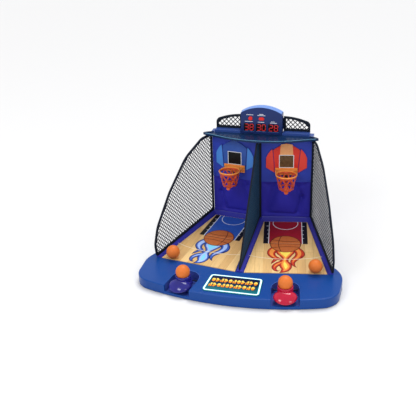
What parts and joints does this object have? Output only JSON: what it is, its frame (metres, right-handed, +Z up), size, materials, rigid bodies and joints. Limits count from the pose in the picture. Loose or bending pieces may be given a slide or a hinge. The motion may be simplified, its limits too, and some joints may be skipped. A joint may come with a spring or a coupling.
{
  "type": "tabletop basketball game machine",
  "caption": "Tabletop two-lane basketball game: splayed wooden-look courts, sprung ball launchers, hoops with scoring paddles, side nets, hood and arched electronic scoreboard.",
  "frame": {"origin": "on the table under the middle of the machine's plan", "axes": "+X to the players' right, +Y from the players to the back wall, +Z up"},
  "size_m": [0.4046, 0.343, 0.294],
  "materials": {
    "deck_blue": "moulded ABS, satin blue",
    "trim_blue": "moulded ABS, violet blue",
    "panel_blue": "rigid board, blue",
    "curtain_cloth": "woven polyester, violet blue",
    "net_cloth": "knotted polyester mesh, navy",
    "net_piping": "sleeved wire frame, dark navy",
    "court_print": "printed board, maple planks",
    "board_blue": "printed board, blue",
    "board_red": "printed board, red",
    "hoop_orange": "moulded polypropylene, orange",
    "ball_orange": "blow-moulded ball, orange",
    "hood_smoke": "tinted polycarbonate, navy",
    "board_case": "moulded ABS, blue",
    "lens_dark": "smoked acrylic window",
    "digit_red": "lit seven-segment digits",
    "button_red": "moulded ABS, red",
    "launcher_blue": "clear-tinted plastic, violet blue",
    "launcher_red": "clear-tinted plastic, crimson",
    "badge_print": "printed plate with a light border",
    "black_plastic": "moulded ABS, black",
    "rubber": "moulded rubber",
    "steel": "zinc-plated steel",
    "post_navy": "powder-coated tube, navy",
    "circuit": "glass-fibre board",
    "battery": "printed steel cans"
  },
  "bodies": {
    "machine": {"back_panel_left": "panel_blue", "back_panel_right": "panel_blue", "backboard_left": "board_blue", "backboard_right": "board_red", "badge_plate": "badge_print", "base_plate": "deck_blue", "base_screws": "steel", "base_shell": "deck_blue", "basket_left": "hoop_orange", "basket_right": "hoop_orange", "battery_box": "black_plastic", "battery_cells": "battery", "battery_contacts": "steel", "battery_door": "deck_blue", "court_left": "court_print", "court_right": "court_print", "curtain_left": "curtain_cloth", "curtain_right": "curtain_cloth", "display_lens": "lens_dark", "display_modules": "digit_red", "divider_frame": "net_piping", "divider_net": "net_cloth", "header_beam": "board_case", "hood": "hood_smoke", "hoop_left": "hoop_orange", "hoop_right": "hoop_orange", "lane_trim_left": "trim_blue", "lane_trim_right": "trim_blue", "launcher_axles": "steel", "launcher_springs": "steel", "paddle_pins": "steel", "paddle_springs": "steel", "panel_screws": "steel", "power_switch_body": "black_plastic", "rear_posts": "post_navy", "rubber_feet": "rubber", "score_switches": "black_plastic", "scoreboard_back": "board_case", "scoreboard_circuit": "circuit", "scoreboard_front": "board_case", "scoreboard_screws": "steel", "side_net_frame_left": "net_piping", "side_net_frame_right": "net_piping", "side_net_left": "net_cloth", "side_net_right": "net_cloth", "speaker": "black_plastic", "switch_covers": "panel_blue", "wing_frames": "net_piping", "wing_meshes": "net_cloth"},
    "launcher_left": {"launcher_left": "launcher_blue"},
    "launcher_right": {"launcher_right": "launcher_red"},
    "paddle_left": {"score_paddle_left": "hoop_orange"},
    "paddle_right": {"score_paddle_right": "hoop_orange"},
    "game_button": {"game_button": "button_red"},
    "start_button": {"start_button": "button_red"},
    "power_switch": {"power_switch_knob": "black_plastic"},
    "launcher_ball_left": {"launcher_ball_left": "ball_orange"},
    "launcher_ball_right": {"launcher_ball_right": "ball_orange"},
    "court_ball_left": {"court_ball_left": "ball_orange"},
    "court_ball_right": {"court_ball_right": "ball_orange"}
  },
  "joints": [
    {"name": "launcher_right_press", "type": "hinge", "parent": "machine", "child": "launcher_right", "pos_m": [0.09679, -0.10656, 0.0095], "axis": [0.9872, 0.1592, 0], "range_deg": [0, 4.8], "stiffness_Nm_per_rad": 0.6, "springref_deg": -8.59},
    {"name": "paddle_right_swing", "type": "hinge", "parent": "machine", "child": "paddle_right", "pos_m": [0.05802, 0.13383, 0.141], "axis": [0.9872, 0.1592, 0], "range_deg": [0, 14], "stiffness_Nm_per_rad": 0.004, "springref_deg": -17.19},
    {"name": "launcher_ball_right_lift", "type": "slide", "parent": "launcher_right", "child": "launcher_ball_right", "axis": [-0.1254, 0.7778, 0.6159], "range_m": [0, 0.06]},
    {"name": "court_ball_right_lift", "type": "slide", "parent": "machine", "child": "court_ball_right", "axis": [0, 0, 1], "range_m": [0, 0.06]},
    {"name": "launcher_left_press", "type": "hinge", "parent": "machine", "child": "launcher_left", "pos_m": [-0.09679, -0.10656, 0.0095], "axis": [0.9872, -0.1592, 0], "range_deg": [0, 4.8], "stiffness_Nm_per_rad": 0.6, "springref_deg": -8.59},
    {"name": "paddle_left_swing", "type": "hinge", "parent": "machine", "child": "paddle_left", "pos_m": [-0.05802, 0.13383, 0.141], "axis": [0.9872, -0.1592, 0], "range_deg": [0, 14], "stiffness_Nm_per_rad": 0.004, "springref_deg": -17.19},
    {"name": "launcher_ball_left_lift", "type": "slide", "parent": "launcher_left", "child": "launcher_ball_left", "axis": [0.1254, 0.7778, 0.6159], "range_m": [0, 0.06]},
    {"name": "court_ball_left_lift", "type": "slide", "parent": "machine", "child": "court_ball_left", "axis": [0, 0, 1], "range_m": [0, 0.06]},
    {"name": "game_button_press", "type": "slide", "parent": "machine", "child": "game_button", "axis": [0, 1, 0], "range_m": [0, 0.0012], "stiffness_N_per_m": 600, "springref_m": -0.0012},
    {"name": "start_button_press", "type": "slide", "parent": "machine", "child": "start_button", "axis": [0, 1, 0], "range_m": [0, 0.0012], "stiffness_N_per_m": 600, "springref_m": -0.0012},
    {"name": "power_switch_slide", "type": "slide", "parent": "machine", "child": "power_switch", "axis": [1, 0, 0], "range_m": [-0.005, 0]}
  ]
}
